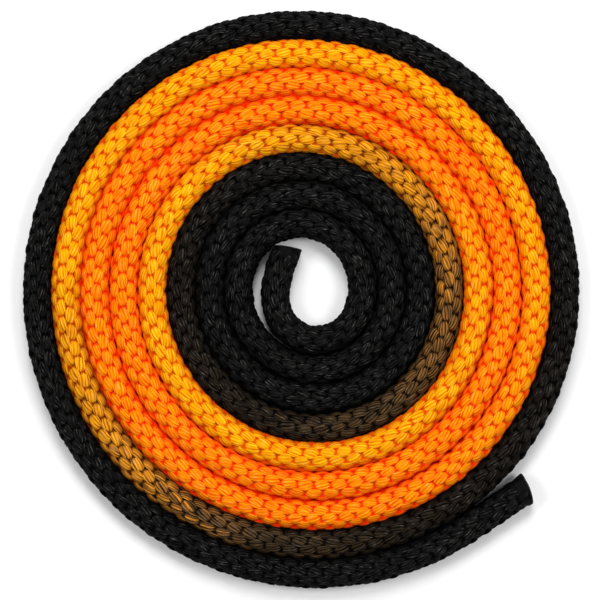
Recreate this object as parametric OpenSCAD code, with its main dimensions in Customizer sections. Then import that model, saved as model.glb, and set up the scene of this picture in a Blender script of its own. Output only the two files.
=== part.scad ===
// A soft braided rope wound into a flat coil, one layer thick, with both ends free.
// The origin is at the middle of the whole rope's footprint, on the surface that it lies on; +Z is up.
// The rope is a braided sheath over a core of loose yarns, and each end is melted into a plug.

/* [Rope] */
// Diameter over the braided sheath
rope_d = 10; // [9.5:0.1:10.2]
// Thickness of the braided sheath, which is two crossing plaits
sheath_t = 3.4; // [3:0.1:3.8]
// How much wider than the rope the outer plug has spread
plug_spread = 1.08; // [1:0.02:1.15]
// How far the plugs' rims are rounded
plug_rim = 0.5; // [0.2:0.1:0.8]

/* [Coil] */
// Radius of the rope's centreline in the first turn, where it crosses +X
first_r = 19.7; // [19.5:0.1:21]
// Gap between neighbouring turns
turn_gap = 0; // [0:0.02:0.1]
// How far the turns are out of round
oval = 0.9; // [0.5:0.05:1]
// How far off centre the first turns lie
drift = 1.2; // [1:0.1:1.4]

/* [Hidden] */

rope_r = rope_d / 2;
core_r = rope_r - sheath_t;
pitch = rope_d + turn_gap;
long_way = 117;                      // degrees: the way the coil is longest
off_way = 102;                       // degrees: the way the first turns lie off centre
seam = 300;                          // degrees: where both tails leave the wound turns
wound = 360 * 7;                     // degrees from a place on the innermost turn to the outermost one beside it
coil_axis = [2.55, 2.45];            // the coil's axis is off the origin, because the rope is a spiral with a tail
coil_step = 7.5;                     // degrees between the coil's sections
round_step = 30;                     // degrees between the points around the rope: 12 sides

// Each tail's centreline, from the wound turns to its plug, measured from the coil's axis.
inner_route = [[4.4, -16.6], [-0.1, -16.5], [-4.7, -14.2], [-8.6, -10.7], [-11, -5.6], [-11.4, 0],
               [-10.5, 5.5], [-9, 10.6], [-8, 13.1]];
inner_end = [-7.2, 15.5];
inner_cut = 80;                      // degrees: the way the inner plug's face looks
outer_route = [[55, -82.3], [61.1, -78.3], [67.5, -74], [73.2, -70.1]];
outer_end = [76.2, -68.2];
outer_cut = 22;                      // degrees: the way the outer plug's face looks

// Distance from the coil's axis to the rope's centreline, once the rope has wound through this angle.
function turn_r(angle) = first_r + pitch * angle / 360 + oval * cos(2 * (angle - long_way))
    + drift * (1 - angle / (seam + wound)) * cos(angle - off_way);
function on_coil(angle) = turn_r(angle) * [cos(angle), sin(angle)];
function way_to(a, b) = atan2(b.y - a.y, b.x - a.x);

// The ring of points around the rope, where its centreline goes through centre in the direction way.
function ring(centre, way, r, spread = 1) = [
    for (turn = [0 : round_step : 359])
        [centre.x + spread * r * cos(turn) * sin(way), centre.y - spread * r * cos(turn) * cos(way),
         rope_r + r * sin(turn)]
];

function rings(path, first_way, last_way, r) = [
    for (i = [0 : len(path) - 1])
        ring(path[i], i == 0 ? first_way : i == len(path) - 1 ? last_way : way_to(path[i - 1], path[i + 1]), r)
];

// The outline across the wound turns: round the innermost turn's near side, then the outermost turn's far side.
function across_turns(angle, r) = [
    for (side = [0, 1], turn = [90 + 180 * side : round_step : 270 + 180 * side])
        let (reach = turn_r(angle + side * wound) + r * cos(turn))
        [reach * cos(angle), reach * sin(angle), rope_r + r * sin(turn)]
];

// A closed solid through a row of outlines with the same number of points.
module loft(outlines) {
    count = len(outlines[0]);
    last = count * (len(outlines) - 1);
    sides = [
        for (start = [0 : count : last - 1], k = [0 : count - 1])
            let (next = (k + 1) % count)
            [start + k, start + next, start + count + next, start + count + k]
    ];
    first_cap = [for (k = [count - 1 : -1 : 0]) k];
    last_cap = [for (k = [0 : count - 1]) last + k];
    polyhedron([for (outline = outlines) each outline], [first_cap, each sides, last_cap], convexity = 8);
}

// The space between two nested rows of outlines.
module pipe(outer, inner) {
    count = len(outer[0]);
    all = count * len(outer);
    last = all - count;
    walls = [
        for (start = [0 : count : last - 1], k = [0 : count - 1])
            let (a = start + k, b = start + (k + 1) % count)
            each [[a, b, b + count, a + count], [all + a, all + a + count, all + b + count, all + b]]
    ];
    rims = [
        for (k = [0 : count - 1])
            let (b = (k + 1) % count)
            each [[b, k, all + k, all + b], [last + k, last + b, last + all + b, last + all + k]]
    ];
    polyhedron([for (outline = [each outer, each inner]) each outline], [each walls, each rims], convexity = 8);
}

// The outer shape of all the wound turns together. It goes once round from the seam, and because the rope is a
// spiral, its two ends meet one turn apart: each leaves a step there, which is where a tail begins.
module wound_turns() {
    outlines = [for (angle = [seam - 360 : coil_step : seam]) across_turns(angle, rope_r)];
    count = len(outlines[0]);
    half = count / 2;
    end = count * (len(outlines) - 1);
    before = end - count;
    sides = [
        for (start = [0 : count : before], k = [0 : count - 2])
            if (k != half - 1) [start + k, start + k + 1, start + count + k + 1, start + count + k]
    ];
    flats = [
        for (start = [count : count : before - count], edge = [[half - 1, half], [count - 1, 0]])
            [start + edge[0], start + edge[1], start + count + edge[1], start + count + edge[0]]
    ];
    first_flats = [
        [half - 1, end + half - 1, half, count + half, count + half - 1],
        [count - 1, end, 0, count, 2 * count - 1]
    ];
    last_flats = [
        [before + half - 1, before + half, end + half, half, end + half - 1],
        [before + count - 1, before, end, count - 1, end + count - 1]
    ];
    inner_step = [for (k = [0 : half - 1]) end + k, for (k = [half - 1 : -1 : 0]) k];
    outer_step = [for (k = [count - 1 : -1 : half]) k, for (k = [half : count - 1]) end + k];
    polyhedron([for (outline = outlines) each outline],
               [each sides, each flats, each first_flats, each last_flats, inner_step, outer_step], convexity = 8);
}

// The core of the same turns, which stops short of the seam at both ends.
module wound_core() {
    loft([for (angle = [seam - 360 + coil_step : coil_step : seam - coil_step]) across_turns(angle, core_r)]);
}

module placed() {
    translate([coil_axis.x, coil_axis.y, 0]) children();
}

inner_path = [on_coil(seam - 360), each inner_route];
outer_path = [on_coil(seam + wound), each outer_route];
inner_way = way_to(inner_route[len(inner_route) - 1], inner_end);
outer_way = way_to(outer_route[len(outer_route) - 1], outer_end);

module sheath_coil() {
    color("orange") placed() difference() {
        wound_turns();
        wound_core();
    }
}

module core_coil() {
    color("ivory") placed() wound_core();
}

module tail_sheath(path, first_way, last_way) {
    color("#262626") placed() pipe(rings(path, first_way, last_way, rope_r), rings(path, first_way, last_way, core_r));
}

module tail_core(path, first_way, last_way) {
    color("ivory") placed() loft(rings(path, first_way, last_way, core_r));
}

// A melted end: the rope's own fibres in one solid plug with a rounded rim.
module end_plug(start, way, end, cut, spread) {
    rim = end - plug_rim * [cos(cut), sin(cut)];
    color("#151515") placed() loft([
        ring(start, way, rope_r),
        ring(rim, cut, rope_r, spread),
        ring(end, cut, rope_r - plug_rim, spread)
    ]);
}

module sheath_inner_tail() {
    tail_sheath(inner_path, seam - 90, inner_way);
}

module core_inner_tail() {
    tail_core(inner_path, seam - 90, inner_way);
}

module inner_end_plug() {
    end_plug(inner_route[len(inner_route) - 1], inner_way, inner_end, inner_cut, 1);
}

module sheath_outer_tail() {
    tail_sheath(outer_path, seam + 90, outer_way);
}

module core_outer_tail() {
    tail_core(outer_path, seam + 90, outer_way);
}

module outer_end_plug() {
    end_plug(outer_route[len(outer_route) - 1], outer_way, outer_end, outer_cut, plug_spread);
}

sheath_coil();
core_coil();
sheath_inner_tail();
core_inner_tail();
inner_end_plug();
sheath_outer_tail();
core_outer_tail();
outer_end_plug();
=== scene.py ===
"""The looks of a soft braided rope wound into a flat coil, built around its CAD model."""
import math

import bpy
import numpy as np
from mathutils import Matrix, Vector


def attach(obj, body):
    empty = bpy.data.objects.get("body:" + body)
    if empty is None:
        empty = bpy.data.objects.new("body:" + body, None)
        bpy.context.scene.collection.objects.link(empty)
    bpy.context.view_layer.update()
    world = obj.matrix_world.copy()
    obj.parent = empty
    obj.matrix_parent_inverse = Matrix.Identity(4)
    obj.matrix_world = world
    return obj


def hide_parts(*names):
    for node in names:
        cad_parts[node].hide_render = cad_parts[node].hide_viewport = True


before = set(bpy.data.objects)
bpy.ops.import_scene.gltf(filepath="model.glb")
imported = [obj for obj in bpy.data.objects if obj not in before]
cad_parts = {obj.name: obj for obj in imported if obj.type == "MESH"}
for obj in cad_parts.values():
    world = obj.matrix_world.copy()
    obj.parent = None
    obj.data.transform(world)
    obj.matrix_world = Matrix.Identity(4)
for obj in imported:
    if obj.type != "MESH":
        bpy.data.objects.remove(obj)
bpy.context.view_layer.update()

MM = 0.001
TURN = 2 * math.pi

# The rope, as in the CAD model.
ROPE_D = 10 * MM
ROPE_R = ROPE_D / 2
SHEATH = 3.4 * MM                 # two plaits crossing
CORE_R = ROPE_R - SHEATH

# The way it lies, as in the CAD model: millimetres from the coil's axis, and degrees.
COIL_AXIS = (2.55, 2.45)
FIRST_R = 19.7
PITCH = 10
OVAL = 0.9
DRIFT = 1.2
LONG_WAY = 117
OFF_WAY = 102
SEAM = 300
WOUND = 360 * 7
COIL_STEP = 10
INNER_ROUTE = [(4.4, -16.6), (-0.1, -16.5), (-4.7, -14.2), (-8.6, -10.7), (-11, -5.6), (-11.4, 0),
               (-10.5, 5.5), (-9, 10.6), (-8, 13.1)]
INNER_END = (-7.2, 15.5)
INNER_CUT = 80
OUTER_ROUTE = [(55, -82.3), (61.1, -78.3), (67.5, -74), (73.2, -70.1)]
OUTER_END = (76.2, -68.2)
OUTER_CUT = 22

# The braid: ten plaits each way, each passing over two and under two.
PLAITS = 10
BRAID_PITCH = 58.5 * MM           # along the rope, while a plait goes once round it
ROLL = 0.25                       # radians: how far the braid turns about the rope, back and forth
ROLL_PITCH = 0.61                 # metres: along the rope, for one such turn back and forth

# One plait, whose path rises and falls between the plaits that it crosses.
PLAIT_T = SHEATH / 2
PLAIT_W = 3.5 * MM
PATH_DEPTH = 1.08 * PLAIT_T       # the path's mean depth below the rope's surface
RELIEF = 1.3                      # how far the path rises and falls, in halves of the plait's thickness
DIVE = 0.9                        # how sharply a plait dives under the next ones
STRAIGHTEN = 1.0                  # how far a plait lines up with the rope while it is on top
NARROWEST, WIDENING = 0.5, 0.66   # the width while it is under, and what it gains on top, in PLAIT_W
THINNEST, THICKENING = 0.9, 0.2   # the same for the thickness, in PLAIT_T
FULLNESS = 0.85                   # below 1, the section has a flatter top and steeper sides than an ellipse
YARN_RIDGE = 0.03                 # how far the yarns stand out of the section, as a share of its size
YARN_TWIST = 100                  # radians per metre: the yarns of a plait are laid together in a slow twist
YARNS = 13.0                      # drawn on each plait
RING_STEP = 1.0 * MM
SECTION_POINTS = 20

# The core: its yarns show as ridges that wind round it.
CORE_YARNS = 6
CORE_RIDGE = 0.07
CORE_PITCH = 45 * MM
CORE_POINTS = 24

# How one stitch differs from the next.
VARY_WIDTH = 0.09
VARY_LIFT = 0.2
VARY_SWAY = 0.055                 # radians about the rope
VARY_TONE = 1.0
STITCHES = 600                    # more than any plait has

# The turns press against each other and are flattened there, which closes the gaps between them.
SIDE_SWELL = 1.06
SIDE_REACH = 5.4 * MM
SIDE_ROUNDING = 0.3 * MM

# The melted ends.
INNER_PLUG_REACH = 2.6 * MM       # from where each one starts to square up, to its face
OUTER_PLUG_REACH = 3.5 * MM
PLUG_TAPER = 0.14                 # how much thinner it starts, inside the sheath, as a share of the rope
PLUG_HEIGHT = 0.985               # over the rope's
PLUG_LUMPS = 0.014, 0.010         # as a share of its size: five lumps around it, and nine smaller ones
PLUG_SPREAD = 1.13                # the outer one has spread wider than the rope
PLUG_BULGE = 1.8                  # and its face stands out more
PLUG_POINTS = 64
PLUG_STEPS = 20

# The face of a melted end, from its rim in: how wide it still is, and how many millimetres it stands out.
PLUG_FACE = [(0.97, 0.12), (0.9, 0.24), (0.8, 0.34), (0.6, 0.46), (0.4, 0.54), (0.2, 0.58), (0.04, 0.6)]
FACE_WOBBLE = 0.10 * MM

# The plaits and the core stop short of the rope's ends, inside the plugs.
END_GAP = 0.8 * MM

# The camera looks straight down.
CAMERA_HEIGHT = 0.8
VIEW_WIDTH = 208.8 * MM
VIEW_CENTRE = (-0.35 * MM, -0.2 * MM, ROPE_R)


def smooth(x, low=0.0, high=1.0):
    """0 below low, 1 above high, and a smooth rise between them."""
    t = np.clip((x - low) / (high - low), 0, 1)
    return t * t * (3 - 2 * t)


# ---------------------------------------------------------------- camera

def make_camera():
    data = bpy.data.cameras.new("camera")
    data.lens = data.sensor_width * (CAMERA_HEIGHT - ROPE_R) / VIEW_WIDTH
    data.clip_start = 0.05
    data.clip_end = 20
    camera = bpy.data.objects.new("camera", data)
    camera.location = (VIEW_CENTRE[0], VIEW_CENTRE[1], CAMERA_HEIGHT)
    bpy.context.scene.collection.objects.link(camera)
    bpy.context.scene.camera = camera


# ---------------------------------------------------------------- the rope's line

def turn_radius(angle):
    longer = OVAL * np.cos(2 * np.radians(angle - LONG_WAY))
    off = DRIFT * (1 - angle / (SEAM + WOUND)) * np.cos(np.radians(angle - OFF_WAY))
    return FIRST_R + PITCH * angle / 360 + longer + off


def coil_angles():
    return np.arange(SEAM - 360, SEAM + WOUND + COIL_STEP / 2, COIL_STEP)


def guide_points():
    """The points that the rope goes through, from its inner end to its outer end, in metres."""
    angles = coil_angles()
    radii = turn_radius(angles)
    coil = np.stack([radii * np.cos(np.radians(angles)), radii * np.sin(np.radians(angles))], 1)
    route = np.concatenate([[INNER_END], INNER_ROUTE[::-1], coil, OUTER_ROUTE, [OUTER_END]])
    return (route + COIL_AXIS) * MM


def run_along(points):
    """How far along the line through points each of them is."""
    return np.concatenate([[0], np.cumsum(np.linalg.norm(np.diff(points, axis=0), axis=1))])


def spline(knots, values, at):
    """A natural cubic spline through values at knots."""
    gaps = np.diff(knots)
    count = len(knots)
    matrix = np.eye(count)
    right = np.zeros_like(values)
    slopes = np.diff(values, axis=0) / gaps[:, None]
    for i in range(1, count - 1):
        matrix[i, i - 1:i + 2] = gaps[i - 1], 2 * (gaps[i - 1] + gaps[i]), gaps[i]
        right[i] = 6 * (slopes[i] - slopes[i - 1])
    bends = np.linalg.solve(matrix, right)
    cell = np.clip(np.searchsorted(knots, at) - 1, 0, count - 2)
    gap = gaps[cell][:, None]
    before = ((knots[cell + 1] - at) / gaps[cell])[:, None]
    after = 1 - before
    straight = before * values[cell] + after * values[cell + 1]
    bent = (before ** 3 - before) * bends[cell] + (after ** 3 - after) * bends[cell + 1]
    return straight + bent * gap ** 2 / 6


class Line:
    """The rope's centreline."""

    def __init__(self):
        guides = guide_points()
        knots = run_along(guides)
        fine = np.arange(0, knots[-1], 0.25 * MM)
        self.points = spline(knots, guides, fine)
        self.run = run_along(self.points)
        self.length = self.run[-1]
        first = len(INNER_ROUTE) + 1
        coil_knots = knots[first:first + len(coil_angles())]
        self.angle_run = np.interp(coil_knots, fine, self.run)

    def seen_from_above(self, place):
        place = np.clip(place, 0, self.length)
        return np.stack([np.interp(place, self.run, self.points[:, k]) for k in (0, 1)], 1)

    def at(self, place):
        """The centreline's points, this far along the rope, and the way to the rope's right there."""
        step = 0.5 * MM
        flat = self.seen_from_above(place)
        way = self.seen_from_above(place + step) - self.seen_from_above(place - step)
        way /= np.linalg.norm(way, axis=1)[:, None]
        zero = np.zeros(len(place))
        centre = np.stack([flat[:, 0], flat[:, 1], zero + ROPE_R], 1)
        right = np.stack([way[:, 1], -way[:, 0], zero], 1)
        return centre, right

    def place_at(self, angle):
        """How far along the rope its coil has wound through this angle."""
        return float(np.interp(angle, coil_angles(), self.angle_run))


line = Line()
UP = np.array([0.0, 0.0, 1.0])


# ---------------------------------------------------------------- meshes

def tube_mesh(name, rings, attributes):
    """A closed tube through rings of points, with a value at each point for each attribute."""
    count, around = rings.shape[:2]
    start = np.arange(count - 1)[:, None] * around
    here = np.arange(around)[None, :]
    beside = (here + 1) % around
    quads = np.stack([start + here, start + beside, start + around + beside, start + around + here], -1)
    quads = quads.reshape(-1, 4)
    first_cap = np.arange(around)[::-1]
    last_cap = (count - 1) * around + np.arange(around)
    corners = np.concatenate([quads.ravel(), first_cap, last_cap])
    starts = np.concatenate([np.arange(0, quads.size, 4), [quads.size, quads.size + around]])
    mesh = bpy.data.meshes.new(name)
    mesh.vertices.add(count * around)
    mesh.vertices.foreach_set("co", rings.reshape(-1).astype(np.float32))
    mesh.loops.add(len(corners))
    mesh.loops.foreach_set("vertex_index", corners.astype(np.int32))
    mesh.polygons.add(len(starts))
    mesh.polygons.foreach_set("loop_start", starts.astype(np.int32))
    mesh.polygons.foreach_set("use_smooth", np.ones(len(starts), bool))
    mesh.update(calc_edges=True)
    for key, values in attributes.items():
        layer = mesh.attributes.new(key, "FLOAT", "POINT")
        layer.data.foreach_set("value", values.reshape(-1).astype(np.float32))
    return mesh


def new_piece(name, mesh, material):
    piece = bpy.data.objects.new(name, mesh)
    bpy.context.scene.collection.objects.link(piece)
    mesh.materials.append(material)
    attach(piece, "root")
    return piece


def smaller(a, b, rounding):
    """The smaller of a and b, with the corner between them rounded."""
    return (a + b - np.sqrt((a - b) ** 2 + rounding ** 2)) / 2


def per_stitch(count, phase, spread, draw):
    """A value for each stitch, held while the stitch is on top and changed while the plait is under."""
    values = draw.uniform(-spread, spread, count)
    whole = np.floor(phase).astype(int)
    change = smooth(phase - whole, 0.3, 0.7)
    return values[whole % count] * (1 - change) + values[(whole + 1) % count] * change


def directions(points):
    way = np.gradient(points, axis=0)
    return way / np.linalg.norm(way, axis=1)[:, None]


def rounded(wave):
    """A sine or cosine, made fuller."""
    return np.sign(wave) * np.abs(wave) ** FULLNESS


def free_sides(place):
    """How far the rope's right side and its left side are free of a neighbouring turn: 0 to 1.

    The right side looks out of the coil, so it is free in the last turn, and the left side in the first one.
    """
    angle = np.interp(place, line.angle_run, coil_angles())
    first = line.place_at(SEAM - 360)
    last = line.place_at(SEAM + WOUND)
    inner_tail = 1 - smooth(place, first - 22 * MM, first - 12 * MM)
    outer_tail = smooth(place, last + 2 * MM, last + 12 * MM)
    outward = np.maximum(smooth(angle, SEAM + WOUND - 380, SEAM + WOUND - 350), inner_tail)
    inward = np.maximum(1 - smooth(angle, SEAM - 15, SEAM + 15), outer_tail)
    return outward[:, None], inward[:, None]


def squeezed(rings, centre, right, place):
    """The rings, pressed flat where the rope touches the floor and the turns beside it."""
    offset = np.einsum("ijk,ik->ij", rings - centre[:, None, :], right)
    pressed = np.sign(offset) * smaller(np.abs(offset) * SIDE_SWELL, SIDE_REACH, SIDE_ROUNDING)
    right_free, left_free = free_sides(place)
    free = np.where(offset > 0, right_free, left_free)
    pressed = (1 - free) * pressed + free * offset
    rings = rings + (pressed - offset)[:, :, None] * right[:, None, :]
    return above_floor(rings)


def above_floor(rings):
    rings[:, :, 2] = np.maximum(rings[:, :, 2], 0)
    return rings


def make_plait(name, hand, index, material):
    """One plait of the sheath, from plug to plug.

    hand is 1 for a plait that winds as a right-hand screw, and -1 for a left-hand one.
    """
    place = np.arange(END_GAP, line.length - END_GAP, RING_STEP)
    centre, right = line.at(place)

    # Over and under: top is 1 where the plait is outermost, and 0 where it is innermost.
    screw = TURN * index / PLAITS + hand * TURN * place / BRAID_PITCH
    phase = PLAITS / 2 * screw - math.pi / 4
    level = hand * np.tanh(DIVE * np.cos(phase)) / math.tanh(DIVE)
    top = (level + 1) / 2

    draw = np.random.default_rng(100 * (hand + 2) + index)
    stitch = phase / TURN - (0 if hand > 0 else 0.5)
    fullness = 1 + per_stitch(STITCHES, stitch, VARY_WIDTH, draw)
    lift = 1 + per_stitch(STITCHES, stitch, VARY_LIFT, draw)
    sway = per_stitch(STITCHES, stitch, VARY_SWAY, draw)
    tone = per_stitch(STITCHES, stitch, VARY_TONE, draw)

    # The plait's path round the rope. It draws in a little where it is melted into a plug.
    roll = ROLL * np.sin(TURN * place / ROLL_PITCH)
    turned = screw - hand * STRAIGHTEN * np.sin(phase) / (PLAITS / 2) + roll + sway
    inside = np.minimum(place, line.length - place)
    fused = 0.94 + 0.06 * smooth(inside, 0.5 * MM, 2.5 * MM)
    reach = (ROPE_R - PATH_DEPTH + level * lift * RELIEF * PLAIT_T / 2) * fused
    outward = np.cos(turned)[:, None] * right + np.sin(turned)[:, None] * UP
    middle = centre + reach[:, None] * outward
    way = directions(middle)
    side = np.cross(way, outward)
    side /= np.linalg.norm(side, axis=1)[:, None]
    rise = np.cross(side, way)

    # The section, whose ridged points follow the twist of the plait's yarns.
    wide = PLAIT_W / 2 * (NARROWEST + WIDENING * top) * fullness
    thick = PLAIT_T / 2 * (THINNEST + THICKENING * top)
    plait_run = run_along(middle)
    ridged = 1 + YARN_RIDGE * np.where(np.arange(SECTION_POINTS) % 2, -1.0, 1.0)
    start = np.linspace(0, TURN, SECTION_POINTS, endpoint=False)
    around = start + hand * YARN_TWIST * plait_run[:, None]
    across = wide[:, None] * rounded(np.cos(around)) * ridged
    over = thick[:, None] * rounded(np.sin(around)) * ridged
    rings = middle[:, None, :] + across[:, :, None] * side[:, None, :] + over[:, :, None] * rise[:, None, :]
    from_centre = np.linalg.norm(rings - centre[:, None, :], axis=2)
    rings = squeezed(rings, centre, right, place)

    every_ring = np.ones(len(place))[:, None]
    every_point = np.ones(SECTION_POINTS)
    # height, edge, crest and flank measure the plait's shape, for the material's painted shade.
    mesh = tube_mesh(name, rings, {
        "place": place[:, None] * every_point,
        "along": plait_run[:, None] * every_point,
        "yarn_x": every_ring * np.cos(start),
        "yarn_y": every_ring * np.sin(start),
        "height": (from_centre - CORE_R) / SHEATH,
        "edge": np.abs(np.cos(around)),
        "crest": top[:, None] * every_point,
        "tone": tone[:, None] * every_point,
        "flank": (ROPE_D - rings[:, :, 2]) / ROPE_R,
    })
    return new_piece(name, mesh, material)


# ---------------------------------------------------------------- materials

class Graph:
    """A material's nodes, with a short way to add and join them."""

    def __init__(self, name):
        self.material = bpy.data.materials.new(name)
        self.material.use_nodes = True
        self.nodes = self.material.node_tree.nodes
        self.links = self.material.node_tree.links
        self.shader = self.nodes["Principled BSDF"]

    def add(self, kind, inputs=None, **settings):
        node = self.nodes.new(kind)
        for key, value in settings.items():
            setattr(node, key, value)
        for key, value in (inputs or {}).items():
            self.put(node, key, value)
        return node

    def put(self, node, key, value):
        if isinstance(value, bpy.types.NodeSocket):
            self.links.new(value, node.inputs[key])
        else:
            node.inputs[key].default_value = value

    def attribute(self, name):
        return self.add("ShaderNodeAttribute", attribute_name=name).outputs["Fac"]

    def math(self, operation, *values):
        return self.add("ShaderNodeMath", dict(enumerate(values)), operation=operation).outputs[0]

    def range(self, value, low, high, to_low=0.0, to_high=1.0):
        node = self.add("ShaderNodeMapRange", {0: value, 1: low, 2: high, 3: to_low, 4: to_high},
                        interpolation_type="SMOOTHSTEP")
        return node.outputs[0]

    def mix(self, factor, a, b, **settings):
        return self.add("ShaderNodeMix", {0: factor, 6: a, 7: b}, data_type="RGBA", **settings).outputs[2]

    def ramp(self, value, stops):
        node = self.add("ShaderNodeValToRGB", {0: value})
        elements = node.color_ramp.elements
        while len(elements) > 1:
            elements.remove(elements[-1])
        for i, (position, colour) in enumerate(stops):
            element = elements[0] if i == 0 else elements.new(position)
            element.position = position
            element.color = (*colour, 1)
        return node.outputs[0]

    def bump(self, relief, strength, distance):
        node = self.add("ShaderNodeBump", {"Strength": strength, "Distance": distance, "Height": relief})
        self.put(self.shader, "Normal", node.outputs[0])

    def noise(self, where, scale, detail):
        node = self.add("ShaderNodeTexNoise", {"Vector": where, "Scale": scale, "Detail": detail})
        return node.outputs["Fac"]

    def position(self):
        return self.add("ShaderNodeNewGeometry").outputs["Position"]


# The yarn's dye colours, each as the lit colour where it stands out and the painted shade where it lies
# deep; in the orange, the painted shade is red with light bounced between the yarns.
DARK = (0.0, 0.0, 0.0)
BLACK = (0.0096, 0.0096, 0.0096), DARK
CHARCOAL = (0.0180, 0.0132, 0.0092), DARK
DARK_BROWN = (0.028, 0.019, 0.0115), DARK
BROWN = (0.092, 0.054, 0.021), DARK
BRONZE = (0.34, 0.145, 0.032), DARK
OLD_GOLD = (0.84, 0.31, 0.022), (0.012, 0.001, 0.0)
GOLD = (1.0, 0.39, 0.009), (0.10, 0.009, 0.0)
AMBER = (1.0, 0.54, 0.001), (0.64, 0.055, 0.0)
ORANGE = (1.0, 0.36, 0.001), (0.72, 0.016, 0.0)
PAINTED_GLINT = (0.092, 0.088, 0.082)       # painted glint, added on the odd hair that catches the light

# The core's two colours, and the melted ends'.
IVORY = (0.55, 0.50, 0.42)
PALE_IVORY = (0.85, 0.82, 0.75)
SOOT = (0.0001, 0.0001, 0.0001)
CHAR = (0.004, 0.0039, 0.0039)

# Where the dye changes: the angle that the coil has wound through, and the colour there.
DYE = [
    (800, BLACK), (890, CHARCOAL), (970, DARK_BROWN), (1020, BROWN), (1080, BRONZE), (1110, OLD_GOLD),
    (1140, GOLD), (1210, AMBER), (1400, AMBER), (1500, ORANGE),
    (2100, ORANGE), (2210, AMBER), (2335, AMBER), (2368, GOLD), (2386, OLD_GOLD), (2399, BRONZE),
    (2419, BROWN), (2442, DARK_BROWN), (2475, CHARCOAL), (2540, BLACK),
]
DYE_BLEED = 0.10                    # metres: how far the fading is uneven from yarn to yarn

# Where the colour falls to its painted shade, in the braid's crevices and down the rope's sides. Each pair
# is where it starts to stand out, and where it is full.
HEIGHT_SHOWN = 0.68, 0.92           # from the core to the sheath's surface, 0 to 1
EDGE_SHOWN = 1.0, 0.76              # across the plait, from its middle, 0, to its edge, 1
CREST_SHOWN = 0.55, 0.90            # along the plait, from where it is innermost, 0, to outermost, 1
FLANK_SHOWN = 0.8, 0.05             # painted shade down the rope's side, from its top, 0, to the floor, 2
FLANK_LEAST = 0.05
FLANK_CONTACT_SHADE = 1.0, 0.7              # painted shade where the turns touch: near the rope's widest line, 1, even the deep colour darkens

# The yarns of one plait are noise that is stretched along it.
YARN_STRETCH = 60.0                 # noise units per metre of plait
YARN_DRIFT = 3.0                    # radians: how unevenly the lines between the yarns are spaced
FIBRE, HAIR, PATCH = (4.5, 2.0), (9.0, 1.0), (1.6, 1.0)        # each noise's scale and detail


def dye_ramp(graph, share, which):
    """The colour along the rope: which is 0 where the yarn stands out, lit, and 1 for the painted shade
    where it lies deep.
    """
    return graph.ramp(share, [(line.place_at(angle) / line.length, colour[which]) for angle, colour in DYE])


def braid_material():
    graph = Graph("dyed_plait")
    place = graph.attribute("place")
    flank = graph.attribute("flank")
    yarn_x, yarn_y = graph.attribute("yarn_x"), graph.attribute("yarn_y")
    stretched = graph.math("MULTIPLY", graph.attribute("along"), YARN_STRETCH)
    spot = graph.add("ShaderNodeCombineXYZ", {0: yarn_x, 1: yarn_y, 2: stretched}).outputs[0]
    fibre = graph.noise(spot, *FIBRE)
    hair = graph.noise(spot, *HAIR)
    patch = graph.noise(spot, *PATCH)

    # The dye.
    bled = graph.math("MULTIPLY_ADD", graph.math("SUBTRACT", patch, 0.5), DYE_BLEED, place)
    share = graph.math("DIVIDE", bled, line.length)
    lit = dye_ramp(graph, share, 0)
    shade_colour = dye_ramp(graph, share, 1)

    # How far the yarn stands out of the braid and of its plait, against painted shade in the crevices
    # between the plaits.
    crevice_unshaded = graph.math("MULTIPLY", graph.range(graph.attribute("height"), *HEIGHT_SHOWN),
                         graph.range(graph.attribute("edge"), *EDGE_SHOWN))
    crevice_unshaded = graph.math("MULTIPLY", crevice_unshaded, graph.range(graph.attribute("crest"), *CREST_SHOWN))
    # Painted shade down the rope's sides.
    flank_unshaded = graph.range(flank, *FLANK_SHOWN, FLANK_LEAST, 1.0)
    streak = graph.range(fibre, 0.32, 0.62, 0.5, 1.0)

    # Painted shade in the lines between the yarns, fainter where the dye is bright.
    turned = graph.math("ARCTAN2", yarn_y, yarn_x)
    drifting = graph.math("MULTIPLY_ADD", patch, YARN_DRIFT, graph.math("MULTIPLY", turned, YARNS))
    yarns = graph.math("COSINE", drifting)
    valley = graph.range(yarns, 0.4, -0.7)
    brightness = graph.add("ShaderNodeRGBToBW", {0: lit}).outputs[0]
    depth = graph.math("MULTIPLY", graph.range(fibre, 0.35, 0.62, -1.0, -0.65),
                       graph.range(brightness, 0.15, 0.45, 1.0, 0.6))
    yarn_line_shade = graph.math("MULTIPLY_ADD", valley, depth, 1.0)

    # The share of the lit colour over the painted shade, with the fibres' streaks and each stitch's tone.
    lit_share_and_tone = graph.math("MULTIPLY", graph.math("MULTIPLY", crevice_unshaded, streak),
                            graph.math("MULTIPLY", yarn_line_shade, flank_unshaded))
    varied = graph.math("MULTIPLY_ADD", graph.attribute("tone"), 0.1, 0.9)
    lit_share_and_tone = graph.math("MULTIPLY", lit_share_and_tone, varied)
    colour = graph.mix(lit_share_and_tone, shade_colour, lit)
    # Painted shade where the turns touch, near the rope's widest line.
    colour = graph.mix(graph.range(flank, *FLANK_CONTACT_SHADE, 0.25, 1.0), (*DARK, 1), colour)
    # A painted glint on the odd hair that catches the light, added to the colour.
    painted_glint_share = graph.math("MULTIPLY", graph.range(hair, 0.58, 0.76), lit_share_and_tone)
    painted_glint_colour = graph.mix(painted_glint_share, (*DARK, 1), (*PAINTED_GLINT, 1))
    graph.put(graph.shader, "Base Color", graph.mix(1.0, colour, painted_glint_colour, blend_type="ADD"))
    graph.put(graph.shader, "Roughness", graph.range(fibre, 0.35, 0.7, 0.8, 0.5))
    graph.put(graph.shader, "Specular IOR Level", 0.03)
    graph.bump(graph.math("MULTIPLY_ADD", yarns, 0.35, fibre), 0.6, 0.12 * MM)
    return graph.material


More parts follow.
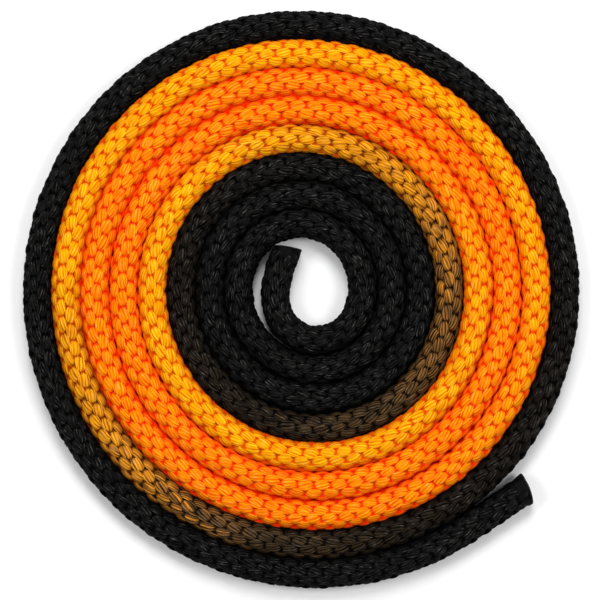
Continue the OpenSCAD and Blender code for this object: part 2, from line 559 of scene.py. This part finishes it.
def core_material():
    graph = Graph("core_yarn")
    fibre = graph.noise(graph.position(), 2600.0, 3.0)
    graph.put(graph.shader, "Base Color", graph.mix(fibre, (*IVORY, 1), (*PALE_IVORY, 1)))
    graph.put(graph.shader, "Roughness", 0.9)
    graph.bump(fibre, 0.5, 0.1 * MM)
    return graph.material


def plug_material():
    graph = Graph("melted_end")
    lumps = graph.noise(graph.position(), 700.0, 4.0)
    colour = graph.mix(graph.range(lumps, 0.38, 0.62), (*SOOT, 1), (*CHAR, 1))
    graph.put(graph.shader, "Base Color", colour)
    graph.put(graph.shader, "Roughness", graph.range(lumps, 0.3, 0.7, 0.5, 0.75))
    graph.put(graph.shader, "Specular IOR Level", 0.05)
    graph.bump(lumps, 0.5, 0.25 * MM)
    return graph.material


# ---------------------------------------------------------------- core and melted ends

def make_core(material):
    """The yarns inside the sheath, laid together in a slow twist."""
    place = np.arange(END_GAP, line.length - END_GAP, 2 * MM)
    centre, right = line.at(place)
    around = np.linspace(0, TURN, CORE_POINTS, endpoint=False)
    twist = TURN * place[:, None] / CORE_PITCH
    reach = CORE_R * (1 - CORE_RIDGE + CORE_RIDGE * np.cos(CORE_YARNS * (around[None, :] - twist)))
    rings = (centre[:, None, :]
             + (reach * np.cos(around))[:, :, None] * right[:, None, :]
             + (reach * np.sin(around))[:, :, None] * UP)
    return new_piece("core", tube_mesh("core", rings, {}), material)


def make_plug(name, tip, reach, cut, spread, bulge, material):
    """A melted end: a lumpy fused plug, from inside the sheath to a face with a rounded rim.

    tip is the face's place along the rope, and reach is how far the plug's start lies before it, so reach is
    negative at the rope's inner end. The face looks the way cut, in degrees. spread is the rim's width over
    the rope's, and bulge says how far the face stands out.
    """
    way = math.radians(cut)
    out = np.array([math.cos(way), math.sin(way), 0])
    across = np.array([math.sin(way), -math.cos(way), 0]) * math.copysign(1, reach)
    around = np.linspace(0, TURN, PLUG_POINTS, endpoint=False)
    five, nine = PLUG_LUMPS
    rings = []
    for step in np.linspace(-0.9, 1.0, PLUG_STEPS):
        squared = float(smooth(step, 0.0, 0.8))
        centre, right = line.at(np.array([tip - reach + step * reach]))
        side = (1 - squared) * right[0] + squared * across
        side /= np.linalg.norm(side)
        size = ROPE_R * (1 - PLUG_TAPER + PLUG_TAPER * float(smooth(step, -0.9, -0.1)))
        flare = 1 + (spread - 1) * squared
        lumps = 1 + five * np.sin(5 * around + 3 * step) + nine * np.sin(9 * around - 4 * step + 1)
        rings.append(centre[0] + (size * lumps)[:, None] * (flare * np.cos(around)[:, None] * side
                                                           + PLUG_HEIGHT * np.sin(around)[:, None] * UP))
    rim = rings[-1]
    middle = rim.mean(0)
    for share, depth in PLUG_FACE:
        wobble = FACE_WOBBLE * np.sin(3 * around + 5 * share) * share
        rings.append(middle + (rim - middle) * share + (bulge * depth * MM + wobble)[:, None] * out)
    mesh = tube_mesh(name, above_floor(np.array(rings)), {})
    return new_piece(name, mesh, material)


# ---------------------------------------------------------------- room and light

def make_floor():
    material = bpy.data.materials.new("floor")
    material.use_nodes = True
    shader = material.node_tree.nodes["Principled BSDF"]
    shader.inputs["Base Color"].default_value = (0.93, 0.93, 0.93, 1)
    shader.inputs["Roughness"].default_value = 0.9
    shader.inputs["Specular IOR Level"].default_value = 0.1
    reach = 4.0
    corners = [(-reach, -reach, 0), (reach, -reach, 0), (reach, reach, 0), (-reach, reach, 0)]
    mesh = bpy.data.meshes.new("floor")
    mesh.from_pydata(corners, [], [(0, 1, 2, 3)])
    floor = bpy.data.objects.new("floor", mesh)
    mesh.materials.append(material)
    bpy.context.scene.collection.objects.link(floor)


def make_light(name, place, size, power):
    data = bpy.data.lights.new(name, "AREA")
    data.energy = power
    data.size = size
    light = bpy.data.objects.new(name, data)
    light.location = place
    light.rotation_euler = (-Vector(place)).to_track_quat("-Z", "Y").to_euler()
    bpy.context.scene.collection.objects.link(light)


def make_room():
    world = bpy.data.worlds.new("world")
    world.use_nodes = True
    background = world.node_tree.nodes["Background"]
    background.inputs["Color"].default_value = (1, 1, 1, 1)
    background.inputs["Strength"].default_value = 0.32
    bpy.context.scene.world = world
    make_light("top_light", (0.0, 0.75, 0.95), 0.5, 8)
    make_light("left_light", (-0.75, 0.1, 0.95), 0.5, 5)
    make_light("right_light", (0.75, 0.1, 0.95), 0.5, 5.8)
    bpy.context.scene.view_settings.view_transform = "Standard"
    bpy.context.scene.view_settings.look = "None"


# ---------------------------------------------------------------- the whole rope

make_camera()
dyed = braid_material()
plaits = [
    make_plait(f"plait_{side_name}_{index + 1:02d}", hand, index, dyed)
    for hand, side_name in ((1, "right"), (-1, "left"))
    for index in range(PLAITS)
]
core = make_core(core_material())
melted = plug_material()
plug_in = make_plug("inner_melted_end", 0.0, -INNER_PLUG_REACH, INNER_CUT, 1.0, 1.0, melted)
plug_out = make_plug("outer_melted_end", line.length, OUTER_PLUG_REACH, OUTER_CUT, PLUG_SPREAD, PLUG_BULGE,
                     melted)

for piece in plaits:
    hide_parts("sheath_coil", "sheath_inner_tail", "sheath_outer_tail")
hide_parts("core_coil", "core_inner_tail", "core_outer_tail")
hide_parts("inner_end_plug")
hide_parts("outer_end_plug")

path_place = np.append(np.arange(0, line.length, 2 * MM), line.length)
rope_path, _ = line.at(path_place)

make_floor()
make_room()
